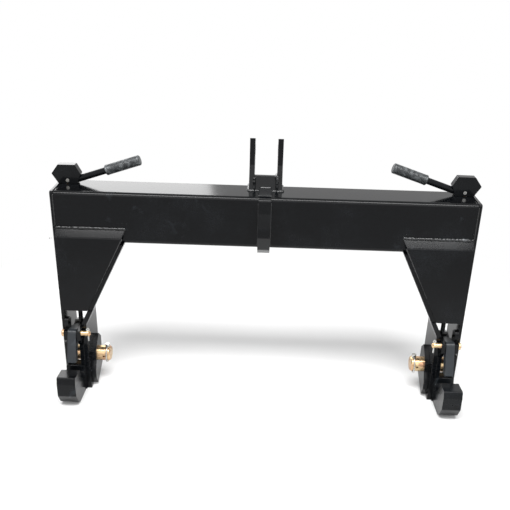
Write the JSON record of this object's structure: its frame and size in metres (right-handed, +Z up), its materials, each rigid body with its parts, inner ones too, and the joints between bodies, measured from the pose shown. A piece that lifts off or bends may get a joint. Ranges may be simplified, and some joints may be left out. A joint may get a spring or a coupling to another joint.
{
  "type": "three point quick hitch",
  "caption": "Welded frame that hooks a tractor three point hitch to an implement, with sprung latches on its lower hooks and hand levers that lift them.",
  "frame": {"origin": "middle of the plan, level with the flat feet of the two lower hooks", "axes": "+X across the tractor to its right as seen from the implement, +Y from the implement to the tractor, +Z up"},
  "size_m": [0.7278, 0.166, 0.475],
  "materials": {
    "frame_paint": "gloss black paint",
    "pin_zinc": "yellow zinc plate",
    "bright_steel": "bright zinc plate",
    "yoke_steel": "plain machined steel",
    "spring_steel": "oiled spring wire",
    "bush_bronze": "turned bronze",
    "grip_rubber": "ribbed, matt"
  },
  "bodies": {
    "frame": {"beam": "frame_paint", "top_hook": "frame_paint", "right_ear": "frame_paint", "left_ear": "frame_paint", "ear_cross_plate": "frame_paint", "right_side_plate": "frame_paint", "right_inner_wall": "frame_paint", "right_gusset": "frame_paint", "right_lower_hook": "frame_paint", "right_pin_boss": "frame_paint", "right_lift_pin": "pin_zinc", "right_linch_pin": "bright_steel", "right_outer_lug": "frame_paint", "right_inner_lug": "frame_paint", "right_pivot_pin": "pin_zinc", "right_cotter_pin": "bright_steel", "right_return_spring": "spring_steel", "right_rod_bush": "bush_bronze", "left_side_plate": "frame_paint", "left_inner_wall": "frame_paint", "left_gusset": "frame_paint", "left_lower_hook": "frame_paint", "left_pin_boss": "frame_paint", "left_lift_pin": "pin_zinc", "left_linch_pin": "bright_steel", "left_outer_lug": "frame_paint", "left_inner_lug": "frame_paint", "left_pivot_pin": "pin_zinc", "left_cotter_pin": "bright_steel", "left_return_spring": "spring_steel", "left_rod_bush": "bush_bronze"},
    "right_rod_group": {"right_pull_rod": "bright_steel", "right_spring_washer": "bright_steel", "right_spring_stop_pin": "bright_steel", "right_yoke": "yoke_steel", "right_yoke_pin": "bright_steel", "right_cam_pin": "bright_steel"},
    "right_handle": {"right_cam": "frame_paint", "right_lever": "bright_steel", "right_grip": "grip_rubber"},
    "right_latch_body": {"right_latch": "frame_paint"},
    "right_ring": {"right_linch_ring": "bright_steel"},
    "left_rod_group": {"left_pull_rod": "bright_steel", "left_spring_washer": "bright_steel", "left_spring_stop_pin": "bright_steel", "left_yoke": "yoke_steel", "left_yoke_pin": "bright_steel", "left_cam_pin": "bright_steel"},
    "left_handle": {"left_cam": "frame_paint", "left_lever": "bright_steel", "left_grip": "grip_rubber"},
    "left_latch_body": {"left_latch": "frame_paint"},
    "left_ring": {"left_linch_ring": "bright_steel"}
  },
  "joints": [
    {"name": "right_rod_slide", "type": "slide", "parent": "frame", "child": "right_rod_group", "axis": [0, 0, 1], "range_m": [0, 0.0223], "stiffness_N_per_m": 1500, "springref_m": -0.02, "deforming": ["right_return_spring"]},
    {"name": "right_handle_hinge", "type": "hinge", "parent": "right_rod_group", "child": "right_handle", "pos_m": [0.33775, 0.0335, 0.3945], "axis": [0, 1, 0], "range_deg": [0, 96]},
    {"name": "right_latch_hinge", "type": "hinge", "parent": "frame", "child": "right_latch_body", "pos_m": [0.33775, -0.022, 0.124], "axis": [1, 0, 0], "range_deg": [0, 28.4]},
    {"name": "right_ring_hinge", "type": "hinge", "parent": "frame", "child": "right_ring", "pos_m": [0.288, 0.021, 0.074], "axis": [0, 1, 0], "range_deg": [0, 100]},
    {"name": "left_rod_slide", "type": "slide", "parent": "frame", "child": "left_rod_group", "axis": [0, 0, 1], "range_m": [0, 0.0223], "stiffness_N_per_m": 1500, "springref_m": -0.02, "deforming": ["left_return_spring"]},
    {"name": "left_handle_hinge", "type": "hinge", "parent": "left_rod_group", "child": "left_handle", "pos_m": [-0.33775, 0.0335, 0.3945], "axis": [0, -1, 0], "range_deg": [0, 96]},
    {"name": "left_latch_hinge", "type": "hinge", "parent": "frame", "child": "left_latch_body", "pos_m": [-0.33775, -0.022, 0.124], "axis": [1, 0, 0], "range_deg": [0, 28.4]},
    {"name": "left_ring_hinge", "type": "hinge", "parent": "frame", "child": "left_ring", "pos_m": [-0.288, 0.021, 0.074], "axis": [0, -1, 0], "range_deg": [0, 100]}
  ],
  "couplings": [
    {"joint": "right_rod_slide", "follows": "right_handle_hinge", "m_per_rad": 0.013309},
    {"joint": "right_latch_hinge", "follows": "right_handle_hinge", "ratio": 0.29583},
    {"joint": "left_rod_slide", "follows": "left_handle_hinge", "m_per_rad": 0.013309},
    {"joint": "left_latch_hinge", "follows": "left_handle_hinge", "ratio": 0.29583}
  ]
}
